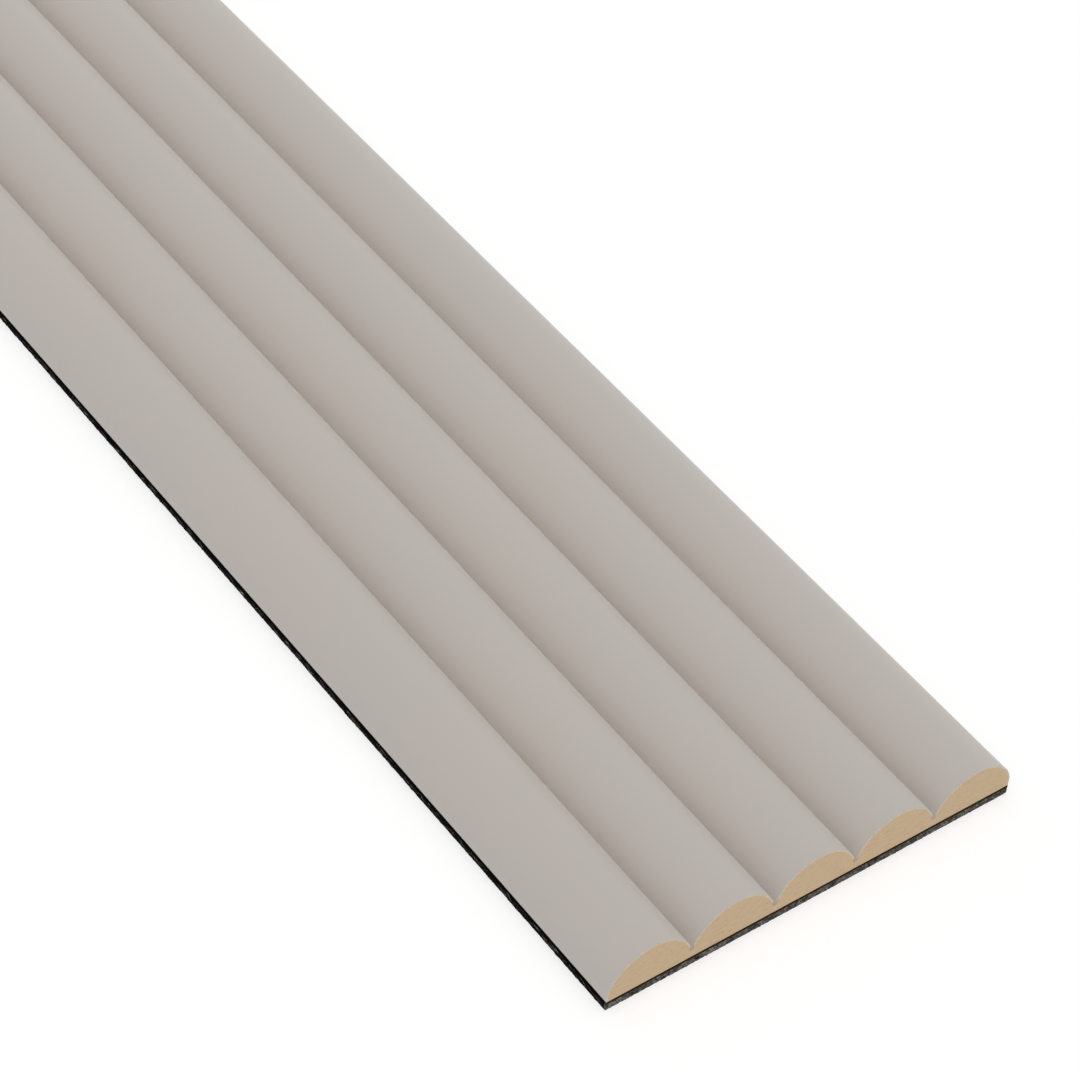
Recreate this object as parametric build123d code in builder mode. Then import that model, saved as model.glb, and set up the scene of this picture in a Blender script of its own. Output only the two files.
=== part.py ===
from build123d import *
from math import sqrt
import os

# A fluted wall panel lying face up: five half-round slats side by side on a sheet of black felt.
# Each slat is a fibreboard core with decor foil wrapped over its face and down both sides.
# X runs across the slats, Y along them and Z up, away from the wall.
# The origin is the middle of the felt's underside, the face that is glued to the wall.
# All sizes are in millimetres.

panel_length = 2700.0
slat_count = 5

slat_width = 23.9  # over the foil
slat_height = 12.1  # from the felt to the crest of the face
side_height = 2.65  # straight side under the half-round
foil_thickness = 0.5
seam = 0.1  # open line between two neighbouring slats

felt_thickness = 2.8
felt_margin = 0.05  # felt that shows outside the outermost slats

# The half-round is one arc from side to side, so its radius follows from the slat's sizes.
arc_rise = slat_height - side_height
face_radius = ((slat_width / 2) ** 2 + arc_rise**2) / (2 * arc_rise)
arc_centre = slat_height - face_radius  # above the felt

slat_pitch = slat_width + seam
felt_width = slat_count * slat_width + (slat_count - 1) * seam + 2 * felt_margin


def slat_outline(inset):
    """Outline of a slat's section, inset from the finished face and sides but not from the foot."""
    half_width = slat_width / 2 - inset
    crest = slat_height - inset
    shoulder = arc_centre + sqrt((face_radius - inset) ** 2 - half_width**2)
    Polyline((-half_width, shoulder), (-half_width, 0), (half_width, 0), (half_width, shoulder))
    ThreePointArc((half_width, shoulder), (0, crest), (-half_width, shoulder))


def slat_plane(index):
    """Plane of the section at the panel's near end, with its origin on the felt under one slat."""
    across = (index - (slat_count - 1) / 2) * slat_pitch
    return Plane(origin=(across, -panel_length / 2, felt_thickness), x_dir=(1, 0, 0), z_dir=(0, -1, 0))


def build_core(index):
    """Fibreboard core, sawn square at both ends."""
    with BuildPart() as core:
        with BuildSketch(slat_plane(index)):
            with BuildLine():
                slat_outline(inset=foil_thickness)
            make_face()
        extrude(amount=-panel_length)
    return core


def build_foil(index):
    """Decor foil, an even skin over the core's face and both sides, cut off level with the foot."""
    with BuildPart() as foil:
        with BuildSketch(slat_plane(index)):
            with BuildLine():
                slat_outline(inset=0)
            make_face()
            with BuildSketch(mode=Mode.SUBTRACT):
                with BuildLine():
                    slat_outline(inset=foil_thickness)
                make_face()
        extrude(amount=-panel_length)
    return foil


def build_felt():
    """Felt backing, one flat sheet under all the slats."""
    with BuildPart() as felt:
        with BuildSketch():
            Rectangle(felt_width, panel_length)
        extrude(amount=felt_thickness)
    return felt


os.makedirs("parts", exist_ok=True)

felt_backing = build_felt()
felt_backing.part.label = "felt_backing"
export_step(felt_backing.part, "parts/felt_backing.step")

for slat in range(slat_count):
    core = build_core(slat)
    core.part.label = f"slat_core_{slat + 1}"
    export_step(core.part, f"parts/{core.part.label}.step")

    foil = build_foil(slat)
    foil.part.label = f"foil_wrap_{slat + 1}"
    export_step(foil.part, f"parts/{foil.part.label}.step")
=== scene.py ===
from math import cos, pi, radians, sin

import bpy
import numpy as np
from mathutils import Matrix, Vector


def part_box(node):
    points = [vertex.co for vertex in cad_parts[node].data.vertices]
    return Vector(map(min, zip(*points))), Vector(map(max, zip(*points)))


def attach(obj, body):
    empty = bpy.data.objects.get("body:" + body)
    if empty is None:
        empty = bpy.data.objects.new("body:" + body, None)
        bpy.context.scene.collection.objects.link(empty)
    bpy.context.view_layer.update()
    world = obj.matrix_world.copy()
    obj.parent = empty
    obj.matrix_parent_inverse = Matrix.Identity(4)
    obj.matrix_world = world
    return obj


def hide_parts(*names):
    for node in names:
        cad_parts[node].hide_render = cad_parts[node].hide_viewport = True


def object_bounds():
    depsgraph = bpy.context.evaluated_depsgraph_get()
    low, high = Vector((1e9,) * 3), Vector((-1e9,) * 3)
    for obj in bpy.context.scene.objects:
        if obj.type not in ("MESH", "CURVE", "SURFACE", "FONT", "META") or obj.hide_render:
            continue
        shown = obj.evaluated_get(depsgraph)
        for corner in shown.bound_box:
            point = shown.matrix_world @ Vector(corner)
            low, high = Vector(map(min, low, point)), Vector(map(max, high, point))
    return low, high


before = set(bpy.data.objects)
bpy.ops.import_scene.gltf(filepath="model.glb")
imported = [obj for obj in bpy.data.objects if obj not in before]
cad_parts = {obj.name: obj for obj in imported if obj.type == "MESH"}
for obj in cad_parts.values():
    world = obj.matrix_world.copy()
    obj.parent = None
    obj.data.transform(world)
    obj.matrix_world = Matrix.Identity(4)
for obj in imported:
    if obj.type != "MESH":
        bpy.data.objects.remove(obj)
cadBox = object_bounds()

# A fluted wall panel lying face up: five half-round slats of fibreboard, each wrapped in a matt
# greige decor foil, on a sheet of black needled felt. Metres, X across the slats, Y along them.

mm = 0.001
nearEnd = cadBox[0].y
farEnd = cadBox[1].y
coreNodes = sorted(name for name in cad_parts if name.startswith("slat_core_"))
slatNumbers = [int(name.rsplit("_", 1)[1]) for name in coreNodes]
print("frame loaded,", len(slatNumbers), "slats")


# Colours and nodes

def linear(hexColour):
    # sRGB hex to linear light: a straight foot under 0.04045, and above it a power of 2.4
    srgb = np.array([int(hexColour[i:i + 2], 16) for i in (1, 3, 5)]) / 255
    light = np.where(srgb <= 0.04045, srgb / 12.92, ((srgb + 0.055) / 1.055) ** 2.4)
    return (*light.tolist(), 1.0)


def addNode(tree, kind, inputs, **settings):
    # A node with its own settings. Each input takes a value, or a link from another node's output.
    node = tree.nodes.new(kind)
    for name, value in settings.items():
        setattr(node, name, value)
    for name, value in inputs.items():
        if isinstance(value, bpy.types.NodeSocket):
            tree.links.new(value, node.inputs[name])
        else:
            node.inputs[name].default_value = value
    return node


def newMaterial(name):
    # An empty material with its shader, and Object coordinates in metres
    material = bpy.data.materials.new(name)
    material.use_nodes = True
    tree = material.node_tree
    tree.nodes.clear()
    shader = addNode(tree, "ShaderNodeBsdfPrincipled", {})
    addNode(tree, "ShaderNodeOutputMaterial", {"Surface": shader.outputs["BSDF"]})
    place = addNode(tree, "ShaderNodeTexCoord", {}).outputs["Object"]
    return material, tree, shader, place


# Surfaces worked out as whole arrays

def softNoise(a, b, grain, seed):
    # Random heights from 0 to 1 on a square mesh of lines one grain apart, blended between the
    # crossings by the smooth step 3t^2 - 2t^3 in both directions
    size = 256  # lines before the pattern repeats
    heights = np.random.default_rng(seed).random((size, size))
    i, j = np.floor(a / grain).astype(int), np.floor(b / grain).astype(int)
    s, t = a / grain - i, b / grain - j
    s, t = s * s * (3 - 2 * s), t * t * (3 - 2 * t)
    i, j = i % size, j % size
    i2, j2 = (i + 1) % size, (j + 1) % size
    low = heights[i, j] * (1 - s) + heights[i2, j] * s
    high = heights[i, j2] * (1 - s) + heights[i2, j2] * s
    return low * (1 - t) + high * t


def gridQuads(rows, columns, closed, start=0):
    # Quads of a grid numbered row by row. A closed grid also joins its last column to its first.
    i, j = np.meshgrid(np.arange(rows - 1), np.arange(columns if closed else columns - 1), indexing="ij")
    k = (j + 1) % columns
    corners = [i * columns + j, i * columns + k, (i + 1) * columns + k, (i + 1) * columns + j]
    return start + np.stack(corners, -1).reshape(-1, 4)


def carried(profile, stations):
    # A closed profile of (x, z) points carried straight along Y: one ring of points at each station
    rings = np.empty((len(stations), len(profile), 3))
    rings[..., 0] = profile[:, 0]
    rings[..., 1] = np.asarray(stations)[:, None]
    rings[..., 2] = profile[:, 1]
    return rings


def newPiece(name, points, faces, materials, stands=(), which=None, sharp=30):
    # Puts arrays of points and of faces, all quads or all triangles in each array, into one mesh.
    # Shading is smooth where two faces meet at less than sharp degrees.
    mesh = bpy.data.meshes.new(name)
    sizes = np.concatenate([np.full(len(part), part.shape[1]) for part in faces])
    mesh.vertices.add(len(points))
    mesh.vertices.foreach_set("co", np.asarray(points, np.float32).ravel())
    mesh.loops.add(int(sizes.sum()))
    corners = np.concatenate([part.ravel() for part in faces])
    mesh.loops.foreach_set("vertex_index", corners.astype(np.int32))
    mesh.polygons.add(len(sizes))
    mesh.polygons.foreach_set("loop_start", (np.cumsum(sizes) - sizes).astype(np.int32))
    for material in materials:
        mesh.materials.append(material)
    if which is not None:
        mesh.polygons.foreach_set("material_index", which.astype(np.int32))
    mesh.update(calc_edges=True)
    mesh.validate()
    mesh.shade_smooth()
    mesh.set_sharp_from_angle(angle=radians(sharp))
    piece = bpy.data.objects.new(name, mesh)
    bpy.context.scene.collection.objects.link(piece)
    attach(piece, "root")
    if stands:
        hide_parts(*stands)
    return piece


# Decor foil

foil = {
    "straightSide": 2.65 * mm,  # straight side of a slat under its half-round
    "arcSteps": 72,
    "sideSteps": 3,
    "stationSpacing": 50 * mm,
    "colour": "#b8b2ac",  # greige
    "colourWarm": "#bab2aa",
    "cloudSize": 45 * mm,  # very slow change of tone along the printed web
    "grain": 0.5 * mm,  # lacquer stipple, really about 0.1 mm, drawn as coarse as the render shows
    "stippleDepth": 0.006 * mm,
    "roughness": (0.5, 0.58),
    "sheen": 0.17,  # the lacquer's matting grains scatter light where the view grazes
    "footColour": "#12110f",
    "footFade": (0.14 * mm, 0.26 * mm),  # heights over the felt where the foil's near-black foot fades out
    "edgeColour": "#d4c8b2",  # the film's pale body, under its print
    "edgeShade": "#c2b59f",
    "edgeGrain": 0.9 * mm,
    "seamColour": "#ceb594",  # darker and tanner where two edges stand face to face
    "seamFade": (-0.6 * mm, 0.1 * mm),  # heights over the notch's foot where that darker tone ends
    "notchShadeColour": "#ac987c",  # painted shade at the notch over a seam
    "notchShadeFade": (0.7 * mm, 1.6 * mm),
    "outerStrip": 1 * mm,  # along the panel's two outer sides, where there is no seam
}
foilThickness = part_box("slat_core_1")[0].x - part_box("foil_wrap_1")[0].x
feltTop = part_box("felt_backing")[1].z
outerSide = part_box("foil_wrap_1")[0].x


def decorFoil():
    # Decor foil: printed polypropylene film with a matt lacquer, calendered. It gives a quiet, even
    # surface with a very fine stipple and a wide, weak sheen, and is drawn near black along its foot.
    material, tree, shader, place = newMaterial("matt decor foil")
    axes = addNode(tree, "ShaderNodeSeparateXYZ", {"Vector": place})
    cloud = addNode(tree, "ShaderNodeTexNoise", {
        "Vector": place, "Scale": 1 / foil["cloudSize"], "Detail": 2.0})
    stipple = addNode(tree, "ShaderNodeTexNoise", {
        "Vector": place, "Scale": 1 / foil["grain"], "Detail": 3.0})
    tone = addNode(tree, "ShaderNodeMix", {
        0: cloud.outputs[0], 6: linear(foil["colour"]), 7: linear(foil["colourWarm"])}, data_type="RGBA")
    # The foil is drawn near black just over the felt, fading out between the two heights of footFade.
    blackFoot = addNode(tree, "ShaderNodeMapRange", {
        "Value": axes.outputs["Z"], "From Min": feltTop + foil["footFade"][0],
        "From Max": feltTop + foil["footFade"][1], "To Min": 1.0, "To Max": 0.0})
    tone = addNode(tree, "ShaderNodeMix", {
        0: blackFoot.outputs[0], 6: tone.outputs[2], 7: linear(foil["footColour"])}, data_type="RGBA")
    rough = addNode(tree, "ShaderNodeMapRange", {
        "Value": stipple.outputs[0], "From Min": 0.3, "From Max": 0.7,
        "To Min": foil["roughness"][0], "To Max": foil["roughness"][1]})
    bump = addNode(tree, "ShaderNodeBump", {
        "Height": stipple.outputs[0], "Distance": foil["stippleDepth"]})
    tree.links.new(tone.outputs[2], shader.inputs["Base Color"])
    tree.links.new(rough.outputs[0], shader.inputs["Roughness"])
    tree.links.new(bump.outputs[0], shader.inputs["Normal"])
    shader.inputs["IOR"].default_value = 1.5
    shader.inputs["Sheen Weight"].default_value = foil["sheen"]
    return material


def cutFoil():
    # The same film where it was sawn: a thin, pale and slightly ragged line. Painted shade darkens it
    # at the notch over each seam, and in the seams, under the notch, it is drawn darker and tanner than
    # beside the open face.
    material, tree, shader, place = newMaterial("sawn edge of the decor foil")
    axes = addNode(tree, "ShaderNodeSeparateXYZ", {"Vector": place})
    ragged = addNode(tree, "ShaderNodeTexNoise", {
        "Vector": place, "Scale": 1 / foil["edgeGrain"], "Detail": 3.0})
    worn = addNode(tree, "ShaderNodeMapRange", {
        "Value": ragged.outputs[0], "From Min": 0.35, "From Max": 0.65})
    across = addNode(tree, "ShaderNodeMath", {0: axes.outputs["X"]}, operation="ABSOLUTE")
    between = addNode(tree, "ShaderNodeMath", {
        0: across.outputs[0], 1: -outerSide - foil["outerStrip"]}, operation="LESS_THAN")
    notch = feltTop + foil["straightSide"]
    # Painted shade: the sawn edge is darkened at the notch over each seam and a little above it. Under the
    # notch, in the seams, it is drawn darker and tanner.
    notchShade = addNode(tree, "ShaderNodeMapRange", {
        "Value": axes.outputs["Z"], "From Min": notch + foil["notchShadeFade"][0],
        "From Max": notch + foil["notchShadeFade"][1], "To Min": between.outputs[0], "To Max": 0.0})
    inSeam = addNode(tree, "ShaderNodeMapRange", {
        "Value": axes.outputs["Z"], "From Min": notch + foil["seamFade"][0],
        "From Max": notch + foil["seamFade"][1], "To Min": between.outputs[0], "To Max": 0.0})
    tone = addNode(tree, "ShaderNodeMix", {
        0: worn.outputs[0], 6: linear(foil["edgeColour"]), 7: linear(foil["edgeShade"])}, data_type="RGBA")
    tone = addNode(tree, "ShaderNodeMix", {
        0: notchShade.outputs[0], 6: tone.outputs[2], 7: linear(foil["notchShadeColour"])}, data_type="RGBA")
    tone = addNode(tree, "ShaderNodeMix", {
        0: inSeam.outputs[0], 6: tone.outputs[2], 7: linear(foil["seamColour"])}, data_type="RGBA")
    tree.links.new(tone.outputs[2], shader.inputs["Base Color"])
    shader.inputs["Roughness"].default_value = 0.7
    return material


def slatOutline(number, inset):
    # Outline of a slat from its left foot over the face to its right foot, inset from the finished
    # face. The face is one arc: with half width w and rise h over the straight side, its radius is
    # (w^2 + h^2) / 2h, and an inset makes that radius smaller about the same centre.
    low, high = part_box(f"foil_wrap_{number}")
    middle, halfWidth, foot, crest = (low.x + high.x) / 2, (high.x - low.x) / 2, low.z, high.z
    rise = crest - foot - foil["straightSide"]
    radius = (halfWidth ** 2 + rise ** 2) / (2 * rise)
    centre = crest - radius
    radius, halfWidth = radius - inset, halfWidth - inset
    reach = np.arcsin(halfWidth / radius)
    angle = np.linspace(-reach, reach, foil["arcSteps"] + 1)
    arc = np.stack([middle + radius * np.sin(angle), centre + radius * np.cos(angle)], -1)
    climb = np.linspace(0, 1, foil["sideSteps"], endpoint=False)[:, None]
    left = np.array([middle - halfWidth, foot]) * (1 - climb) + arc[0] * climb
    right = left[::-1] * (-1, 1) + (2 * middle, 0)
    return np.concatenate([left, arc, right])


def foilWrap(number, materials):
    # The skin's closed profile is the outer outline there and the inner outline back, carried from
    # end to end. Each end is a strip of quads between the two outlines.
    outer, inner = slatOutline(number, 0), slatOutline(number, foilThickness)
    profile = np.concatenate([outer, inner[::-1]])
    stations = np.linspace(nearEnd, farEnd, round((farEnd - nearEnd) / foil["stationSpacing"]) + 1)
    points = carried(profile, stations).reshape(-1, 3)
    count, total = len(outer), len(profile)
    side = gridQuads(len(stations), total, closed=True)
    k = np.arange(count - 1)
    strip = np.stack([k, total - 1 - k, total - 2 - k, k + 1], -1)
    farStrip = strip[:, ::-1] + (len(stations) - 1) * total
    which = np.concatenate([np.zeros(len(side)), np.ones(2 * len(strip))])
    name = f"foil_wrap_{number}"
    faces = [side, strip, farStrip]
    return newPiece(f"foilWrap{number}", points, faces, materials, [name], which)


foilMaterials = [decorFoil(), cutFoil()]
for number in slatNumbers:
    foilWrap(number, foilMaterials)
print("foil wraps made")


# Fibreboard cores

fibreboard = {
    "columns": 110,
    "rows": 56,
    "sawRadius": 150 * mm,  # of the saw blade, whose teeth leave faint arcs
    "toothMark": 1.1 * mm,
    "toothDepth": 0.012 * mm,
    "tuftSize": 0.35 * mm,
    "tuftDepth": 0.05 * mm,
    "coarseShare": 0.6,  # of the tufts' depth. The rest is in tufts half as big.
    "rimFade": 0.3 * mm,  # the relief ends this far in from the foil
    "fuzzDepth": 0.025 * mm,
    "seed": 40,
    "colour": "#cdb392",
    "darkFibre": "#b89a70",
    "paleFibre": "#d8c4a6",
    "bundleLength": 2.2 * mm,  # fibre bundles lie flat in the board
    "bundleThickness": 0.45 * mm,
    "speckSize": 0.5 * mm,
}


def sawnFibreboard():
    # Medium density fibreboard, pressed from fine wood fibre and sawn: dry and quite matt, tan, with
    # flat bundles of paler and darker fibre and a faint dust
    material, tree, shader, place = newMaterial("sawn fibreboard")
    length = fibreboard["bundleLength"]
    flat = addNode(tree, "ShaderNodeMapping", {
        "Vector": place,
        "Scale": (1 / length, 1 / length, 1 / fibreboard["bundleThickness"])})
    bundles = addNode(tree, "ShaderNodeTexNoise", {
        "Vector": flat.outputs[0], "Scale": 1.0, "Detail": 4.0})
    specks = addNode(tree, "ShaderNodeTexNoise", {
        "Vector": place, "Scale": 1 / fibreboard["speckSize"], "Detail": 3.0})
    dark = addNode(tree, "ShaderNodeMapRange", {
        "Value": bundles.outputs[0], "From Min": 0.52, "From Max": 0.75, "To Max": 0.6})
    pale = addNode(tree, "ShaderNodeMapRange", {
        "Value": specks.outputs[0], "From Min": 0.52, "From Max": 0.72, "To Max": 0.55})
    tone = addNode(tree, "ShaderNodeMix", {
        0: dark.outputs[0], 6: linear(fibreboard["colour"]),
        7: linear(fibreboard["darkFibre"])}, data_type="RGBA")
    tone = addNode(tree, "ShaderNodeMix", {
        0: pale.outputs[0], 6: tone.outputs[2], 7: linear(fibreboard["paleFibre"])}, data_type="RGBA")
    bump = addNode(tree, "ShaderNodeBump", {
        "Height": specks.outputs[0], "Distance": fibreboard["fuzzDepth"]})
    tree.links.new(tone.outputs[2], shader.inputs["Base Color"])
    tree.links.new(bump.outputs[0], shader.inputs["Normal"])
    shader.inputs["Roughness"].default_value = 0.92
    shader.inputs["Specular IOR Level"].default_value = 0.3
    return material


def slatCore(number, material):
    # A sawn end is a grid: column x runs from side to side, row t from the foot, 0, to the outline, 1,
    # at height t times the outline's height over x. Its relief goes inwards: the saw's arcs, a sine of
    # the distance from the blade's centre, and torn tufts, two grains of soft noise. It fades to
    # nothing at the rim. The skin between the two ends is one band of quads round the rims.
    columns, rows = fibreboard["columns"] + 1, fibreboard["rows"] + 1
    low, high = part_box(f"slat_core_{number}")
    outline = slatOutline(number, foilThickness)
    arc = outline[foil["sideSteps"]:len(outline) - foil["sideSteps"]]
    x = (low.x + high.x) / 2 - (high.x - low.x) / 2 * np.cos(np.linspace(0, pi, columns))
    top = np.interp(x, arc[:, 0], arc[:, 1])
    x = np.broadcast_to(x, (rows, columns))
    t = np.linspace(0, 1, rows)[:, None]
    z = low.z + t * (top - low.z)
    rim = np.minimum(np.minimum(x - low.x, high.x - x), np.minimum(z - low.z, top - z))
    fade = np.clip(rim / fibreboard["rimFade"], 0, 1)
    fromSaw = np.hypot(x, z + fibreboard["sawRadius"])
    coarse, size = fibreboard["coarseShare"], fibreboard["tuftSize"]
    ends = []
    for end, inwards in ((nearEnd, 1), (farEnd, -1)):
        seed = fibreboard["seed"] + 2 * number + (inwards > 0)
        arcs = 0.5 + 0.5 * np.sin(2 * pi * fromSaw / fibreboard["toothMark"])
        tufts = coarse * softNoise(x, z, size, seed)
        tufts = tufts + (1 - coarse) * softNoise(x, z, size / 2, seed + 20)
        depth = fade * (fibreboard["toothDepth"] * arcs + fibreboard["tuftDepth"] * tufts)
        ends.append(np.stack([x, end + inwards * depth, z], -1).reshape(-1, 3))
    points = np.concatenate(ends)
    nearFace = gridQuads(rows, columns, closed=False)
    farFace = gridQuads(rows, columns, closed=False, start=rows * columns)
    index = np.arange(rows * columns).reshape(rows, columns)
    ring = np.concatenate([index[0, :-1], index[:-1, -1], index[-1, :0:-1], index[:0:-1, 0]])
    after = np.roll(ring, -1)
    skin = np.stack([ring, ring + rows * columns, after + rows * columns, after], -1)
    faces = [nearFace, farFace[:, ::-1], skin]
    name = f"slat_core_{number}"
    return newPiece(f"slatCore{number}", points, faces, [material], [name], sharp=40)


fibreboardMaterial = sawnFibreboard()
for number in slatNumbers:
    slatCore(number, fibreboardMaterial)
print("fibreboard cores made")


# Felt backing

felt = {
    "across": 8,
    "rows": 7,
    "stationSpacing": 3 * mm,
    "tuftSize": 1.3 * mm,
    "tuftDepth": 0.06 * mm,
    "darkTopDepth": 0.85 * mm,  # top of the felt, drawn near black
    "darkTopSpread": 0.3,  # share of that depth over which the near-black top fades
    "black": "#0b0b0a",
    "grey": "#1f1e1c",
    "darkTop": "#080604",
    "cutDarkTop": "#2c2318",
    "cutBlack": "#403e3a",
    "cutGrey": "#6e6b65",
    "grain": 0.5 * mm,
    "cutZone": (0.6 * mm, 0.3 * mm),  # how far in from a cut end the paler cut fibres start, and all show
    "fuzzDepth": 0.2 * mm,
}


def needledFelt():
    # Needle-punched polyester felt, dyed black: no gloss, a fine dark mottle. Its cut ends look
    # greyer, because they show the fibres' ends, and its top is drawn near black.
    material, tree, shader, place = newMaterial("black needled felt")
    axes = addNode(tree, "ShaderNodeSeparateXYZ", {"Vector": place})
    mottle = addNode(tree, "ShaderNodeTexNoise", {
        "Vector": place, "Scale": 1 / felt["grain"], "Detail": 3.0})
    showing = addNode(tree, "ShaderNodeMapRange", {
        "Value": mottle.outputs[0], "From Min": 0.36, "From Max": 0.66, "To Max": 1.0})
    outward = addNode(tree, "ShaderNodeMath", {0: axes.outputs["Y"]}, operation="ABSOLUTE")
    cut = addNode(tree, "ShaderNodeMapRange", {
        "Value": outward.outputs[0], "From Min": farEnd - felt["cutZone"][0],
        "From Max": farEnd - felt["cutZone"][1]})
    # The felt's top is drawn near black, dark brown at the cut ends, fading out over the given depth.
    free = addNode(tree, "ShaderNodeMapRange", {
        "Value": axes.outputs["Z"],
        "From Min": feltTop - (1 - felt["darkTopSpread"]) * felt["darkTopDepth"],
        "From Max": feltTop - (1 + felt["darkTopSpread"]) * felt["darkTopDepth"]})
    dark = addNode(tree, "ShaderNodeMix", {
        0: cut.outputs[0], 6: linear(felt["black"]), 7: linear(felt["cutBlack"])}, data_type="RGBA")
    pale = addNode(tree, "ShaderNodeMix", {
        0: cut.outputs[0], 6: linear(felt["grey"]), 7: linear(felt["cutGrey"])}, data_type="RGBA")
    body = addNode(tree, "ShaderNodeMix", {
        0: showing.outputs[0], 6: dark.outputs[2], 7: pale.outputs[2]}, data_type="RGBA")
    darkTopTone = addNode(tree, "ShaderNodeMix", {
        0: cut.outputs[0], 6: linear(felt["darkTop"]), 7: linear(felt["cutDarkTop"])}, data_type="RGBA")
    tone = addNode(tree, "ShaderNodeMix", {
        0: free.outputs[0], 6: darkTopTone.outputs[2], 7: body.outputs[2]}, data_type="RGBA")
    bump = addNode(tree, "ShaderNodeBump", {
        "Height": mottle.outputs[0], "Distance": felt["fuzzDepth"]})
    tree.links.new(tone.outputs[2], shader.inputs["Base Color"])
    tree.links.new(bump.outputs[0], shader.inputs["Normal"])
    shader.inputs["Roughness"].default_value = 1.0
    shader.inputs["Specular IOR Level"].default_value = 0.0
    return material


def feltSheet(material):
    # The sheet's closed profile runs along the underside, up the right side, back along the top and
    # down the left side, carried from end to end. Its sides draw in by soft noise, as tufts do.
    # Each end is a grid of columns from the underside to the top.
    low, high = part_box("felt_backing")
    across, rows = felt["across"], felt["rows"]
    stations = np.linspace(nearEnd, farEnd, round((farEnd - nearEnd) / felt["stationSpacing"]) + 1)
    x, z = np.linspace(low.x, high.x, across + 1), np.linspace(low.z, high.z, rows + 1)
    index = np.arange((rows + 1) * (across + 1)).reshape(rows + 1, across + 1)
    ring = np.concatenate([index[0, :-1], index[:-1, -1], index[-1, :0:-1], index[:0:-1, 0]])
    gridX, gridZ = (part.ravel() for part in np.meshgrid(x, z))
    points = carried(np.stack([gridX[ring], gridZ[ring]], -1), stations)
    for side, inwards, seed in ((low.x, 1, 71), (high.x, -1, 72)):
        onSide = np.isclose(points[0, :, 0], side)
        tufts = softNoise(points[:, onSide, 1], points[:, onSide, 2], felt["tuftSize"], seed)
        points[:, onSide, 0] += inwards * felt["tuftDepth"] * tufts
    total = len(ring)
    skin = gridQuads(len(stations), total, closed=True)[:, ::-1]
    points = points.reshape(-1, 3)
    faces = [skin]
    for number, (end, inwards) in enumerate(((0, 1), (len(stations) - 1, -1))):
        place = np.full(index.size, -1)
        place[ring] = end * total + np.arange(total)
        inner = np.flatnonzero(place < 0)
        place[inner] = len(points) + np.arange(len(inner))
        tufts = softNoise(gridX[inner], gridZ[inner], felt["tuftSize"], 73 + number)
        depth = inwards * felt["tuftDepth"] * tufts
        added = np.stack([gridX[inner], stations[end] + depth, gridZ[inner]], -1)
        points = np.concatenate([points, added])
        face = place[gridQuads(rows + 1, across + 1, closed=False)]
        faces.append(face if inwards > 0 else face[:, ::-1])
    return newPiece("feltBacking", points, faces, [material], ["felt_backing"], sharp=50)


# Fibres that stand out of the felt's four cut edges. Real ones are 0.03 mm thick; these stand for
# little bundles of them, as coarse as the render shows.
fibres = {
    "side": {
        "count": 15500,
        "length": (1.0 * mm, 4.2 * mm),
        "tilt": 0.3,  # radians, spread about the edge's run
        "thickness": (0.04 * mm, 0.13 * mm),
        "paleness": 3.0,
        "clumping": 2.5,
        "setBack": 2 * mm,  # from the edge's two corners
    },
    "end": {
        "count": 6000,
        "length": (0.35 * mm, 1.3 * mm),
        "tilt": 0.45,
        "thickness": (0.07 * mm, 0.19 * mm),
        "paleness": 1.1,
        "clumping": 0.6,
        "setBack": 0.6 * mm,
    },
    "proud": 0.06 * mm,
    "middle": (-0.5, 0.7),  # of that, from within the felt to proud of it
    "bend": 0.12,  # of a fibre's length
    "belly": 0.2,  # of a fibre's length, from its middle to where it is thickest
    "low": 0.05 * mm,
    "foot": 0.02 * mm,  # height over the floor that no fibre goes under
    "sinking": 1.2,  # over 1, more fibres lie low down
    "clumpSize": 1.0 * mm,
    "dark": "#0a0a09",
    "sidePale": "#b9b4ab",
    "endPale": "#a8a399",
}


def fibreMaterial(name, pale):
    # Polyester fibres, matt, each with its own grey from its tone, near black to pale
    material, tree, shader, _ = newMaterial(name)
    tone = addNode(tree, "ShaderNodeAttribute", {}, attribute_name="tone")
    grey = addNode(tree, "ShaderNodeMix", {
        0: tone.outputs["Fac"], 6: linear(fibres["dark"]), 7: linear(pale)}, data_type="RGBA")
    tree.links.new(grey.outputs[2], shader.inputs["Base Color"])
    shader.inputs["Roughness"].default_value = 0.9
    shader.inputs["Specular IOR Level"].default_value = 0.03
    return material


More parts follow.
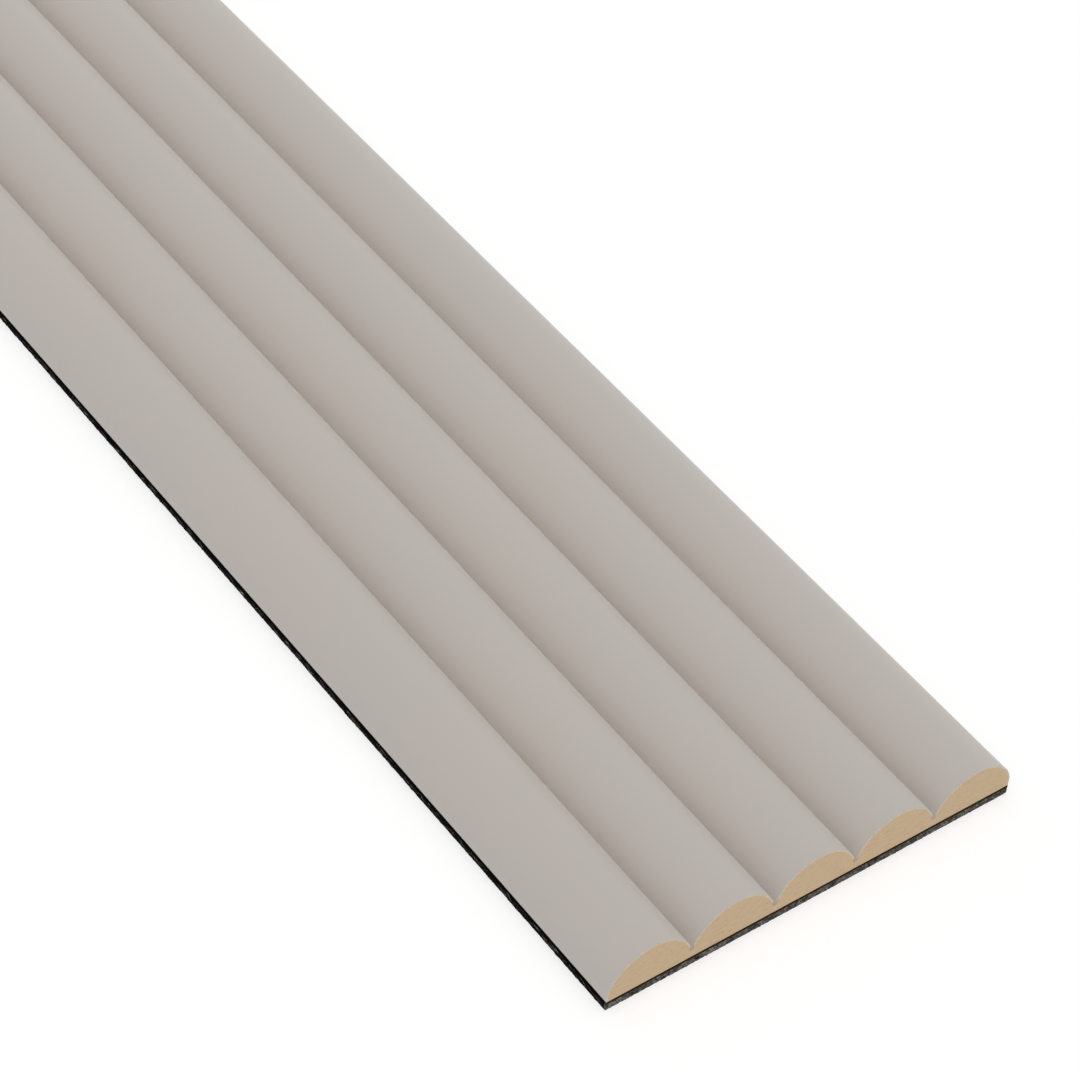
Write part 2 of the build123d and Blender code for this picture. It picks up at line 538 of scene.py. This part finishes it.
def fibrePiece(name, along, outward, edge, halfRun, kind, material, seed):
    # Every fibre is a closed spindle: a tip, two rings of three points and a tip, 12 triangles. It lies
    # in the edge's plane, turned from the edge's run by a normal spread of tilts, at random places.
    # Its rings are pushed sideways by a share of its length, and outwards, so it is a shallow arc.
    # Its tone is a random number to the power of paleness, times soft noise to the power of clumping,
    # so that pale fibres come in clumps.
    draw = np.random.default_rng(seed)
    up = np.array([0.0, 0.0, 1.0])
    top = feltTop - felt["darkTopDepth"]
    count = kind["count"]
    span = draw.uniform(*kind["length"], count)
    turn = draw.normal(0, kind["tilt"], count)[:, None]
    run = np.cos(turn) * along + np.sin(turn) * up
    over = np.cos(turn) * up - np.sin(turn) * along
    height = fibres["low"] + (top - fibres["low"]) * draw.random(count) ** fibres["sinking"]
    halfRun = halfRun - kind["setBack"]
    place = draw.uniform(-halfRun, halfRun, count)
    middle = edge * outward + place[:, None] * along + height[:, None] * up
    middle = middle + draw.uniform(*fibres["middle"], count)[:, None] * fibres["proud"] * outward
    bend = fibres["bend"] * span[:, None] * (draw.normal(0, 1, count)[:, None] * over)
    bend = bend + fibres["proud"] * draw.random(count)[:, None] * outward
    radius = draw.uniform(*kind["thickness"], count)[:, None, None] / 2
    round3 = np.array([0, 2 * pi / 3, 4 * pi / 3])[:, None]
    ring = radius * (np.cos(round3) * over[:, None] + np.sin(round3) * outward)
    span = span[:, None]
    tips = [middle - 0.5 * span * run, middle + 0.5 * span * run]
    belly = fibres["belly"]
    rings = [(middle + share * span * run + bend)[:, None] + ring for share in (-belly, belly)]
    points = np.concatenate([tips[0][:, None], *rings, tips[1][:, None]], 1)
    # A fibre that reaches past the felt's near-black top or the foot is moved back in, and cut if it is
    # too long
    points[..., 2] -= np.maximum(points[..., 2].max(1) - top, 0)[:, None]
    points[..., 2] += np.maximum(fibres["foot"] - points[..., 2].min(1), 0)[:, None]
    points[..., 2] = np.clip(points[..., 2], fibres["foot"], top)
    spindle = np.array([
        (0, 2, 1), (0, 3, 2), (0, 1, 3),
        (1, 2, 5), (1, 5, 4), (2, 3, 6), (2, 6, 5), (3, 1, 4), (3, 4, 6),
        (7, 4, 5), (7, 5, 6), (7, 6, 4)])
    handed = np.cross(over[0], outward) @ run[0]
    spindle = spindle if handed > 0 else spindle[:, ::-1]
    faces = (np.arange(count)[:, None, None] * 8 + spindle).reshape(-1, 3)
    piece = newPiece(name, points.reshape(-1, 3), [faces], [material], sharp=180)
    clump = softNoise(place, height, fibres["clumpSize"], seed + 10) ** kind["clumping"]
    tones = clump * draw.random(count) ** kind["paleness"]
    tone = piece.data.attributes.new("tone", "FLOAT", "POINT")
    tone.data.foreach_set("value", np.repeat(tones, 8).astype(np.float32))
    return piece


def feltFibres():
    # One piece of fibres along each of the felt's four edges
    xAxis, yAxis = np.array([1.0, 0.0, 0.0]), np.array([0.0, 1.0, 0.0])
    halfWidth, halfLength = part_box("felt_backing")[1].x, farEnd
    sideMaterial = fibreMaterial("loose felt fibres", fibres["sidePale"])
    endMaterial = fibreMaterial("cut felt fibres", fibres["endPale"])
    pieces = []
    for name, sign, seed in (("Left", -1, 81), ("Right", 1, 82)):
        pieces.append(fibrePiece(
            f"feltFibres{name}", yAxis, sign * xAxis, halfWidth, halfLength, fibres["side"], sideMaterial,
            seed))
    for name, sign, seed in (("Near", -1, 83), ("Far", 1, 84)):
        pieces.append(fibrePiece(
            f"feltFibres{name}", xAxis, sign * yAxis, halfLength, halfWidth, fibres["end"], endMaterial,
            seed))
    return pieces


feltPiece = feltSheet(needledFelt())
fibrePieces = feltFibres()
print("felt made")


# Floor, lights and camera

studio = {
    "floorHalfWidth": 30.0,  # metres, so that the floor fills every view
    "floorColour": "#ececec",
    "floorGlow": 0.255,  # only what the camera sees, so that the floor is white and keeps its shadow
    "skyStrength": 0.43,
    "fillStrength": 1.465,
}


def whiteFloor():
    # One square at the felt's underside. It glows a little, but only as the camera and reflections see
    # it, so it lights nothing.
    material, tree, shader, _ = newMaterial("white floor")
    path = addNode(tree, "ShaderNodeLightPath", {})
    seen = addNode(tree, "ShaderNodeMath", {
        0: path.outputs["Is Camera Ray"], 1: path.outputs["Is Glossy Ray"]}, operation="MAXIMUM")
    seen = addNode(tree, "ShaderNodeMath", {
        0: seen.outputs[0], 1: path.outputs["Is Transmission Ray"]}, operation="MAXIMUM")
    glow = addNode(tree, "ShaderNodeMath", {
        0: seen.outputs[0], 1: studio["floorGlow"]}, operation="MULTIPLY")
    tree.links.new(glow.outputs[0], shader.inputs["Emission Strength"])
    shader.inputs["Emission Color"].default_value = (1, 1, 1, 1)
    shader.inputs["Base Color"].default_value = linear(studio["floorColour"])
    shader.inputs["Roughness"].default_value = 1.0
    shader.inputs["Specular IOR Level"].default_value = 0.0
    half = studio["floorHalfWidth"]
    mesh = bpy.data.meshes.new("floor")
    corners = [(-half, -half, 0), (half, -half, 0), (half, half, 0), (-half, half, 0)]
    mesh.from_pydata(corners, [], [(0, 1, 2, 3)])
    mesh.materials.append(material)
    floor = bpy.data.objects.new("floor", mesh)
    bpy.context.scene.collection.objects.link(floor)


def whiteSky():
    # An even white dome. The camera and reflections see it at full white.
    world = bpy.data.worlds.new("white sky")
    bpy.context.scene.world = world
    world.use_nodes = True
    tree = world.node_tree
    tree.nodes.clear()
    path = addNode(tree, "ShaderNodeLightPath", {})
    seen = addNode(tree, "ShaderNodeMath", {
        0: path.outputs["Is Camera Ray"], 1: path.outputs["Is Glossy Ray"]}, operation="MAXIMUM")
    seen = addNode(tree, "ShaderNodeMath", {
        0: seen.outputs[0], 1: path.outputs["Is Transmission Ray"]}, operation="MAXIMUM")
    strength = addNode(tree, "ShaderNodeMapRange", {
        "Value": seen.outputs[0], "To Min": studio["skyStrength"], "To Max": 1.0})
    sky = addNode(tree, "ShaderNodeBackground", {"Color": (1, 1, 1, 1), "Strength": strength.outputs[0]})
    addNode(tree, "ShaderNodeOutputWorld", {"Surface": sky.outputs[0]})


def fillLight():
    # A lamp as wide as the sky that throws no shadow, so the grooves between the slats stay open.
    # With multiple importance sampling the slats would still shade each other from it.
    lamp = bpy.data.lights.new("fill as wide as the sky", "SUN")
    lamp.energy = studio["fillStrength"]
    lamp.angle = pi
    lamp.use_shadow = False
    lamp.cycles.use_multiple_importance_sampling = False
    bpy.context.scene.collection.objects.link(bpy.data.objects.new(lamp.name, lamp))


shot = {
    "aim": (4.8 * mm, -1233.3 * mm, 14.9 * mm),  # where the view's middle meets the slats' crests
    "distance": 860.5 * mm,
    "turn": 39.825,  # degrees, from looking along +Y towards +X
    "down": 45.09,  # degrees below level
    "roll": 5.754,  # degrees, top of the camera to the left
    "lens": 115.88,  # on a 36 mm sensor
}


def camera():
    # Ahead is +Y turned towards +X and then tipped down. Right is level, up is square to both, and a
    # roll turns right and up about ahead. The camera looks along its own -Z, from its distance before
    # the aim.
    turn, down, roll = (radians(shot[name]) for name in ("turn", "down", "roll"))
    ahead = Vector((sin(turn) * cos(down), cos(turn) * cos(down), -sin(down)))
    right = ahead.cross(Vector((0, 0, 1))).normalized()
    up = right.cross(ahead)
    up, right = up * cos(roll) - right * sin(roll), right * cos(roll) + up * sin(roll)
    turned = Matrix((right, up, -ahead)).transposed().to_4x4()
    data = bpy.data.cameras.new("camera")
    data.lens = shot["lens"]
    data.clip_start, data.clip_end = 0.01, 200
    view = bpy.data.objects.new("camera", data)
    view.matrix_world = Matrix.Translation(Vector(shot["aim"]) - shot["distance"] * ahead) @ turned
    bpy.context.scene.collection.objects.link(view)
    bpy.context.scene.camera = view


whiteFloor()
whiteSky()
fillLight()
camera()
bpy.context.scene.view_settings.view_transform = "Standard"
print("floor, lights and camera made")
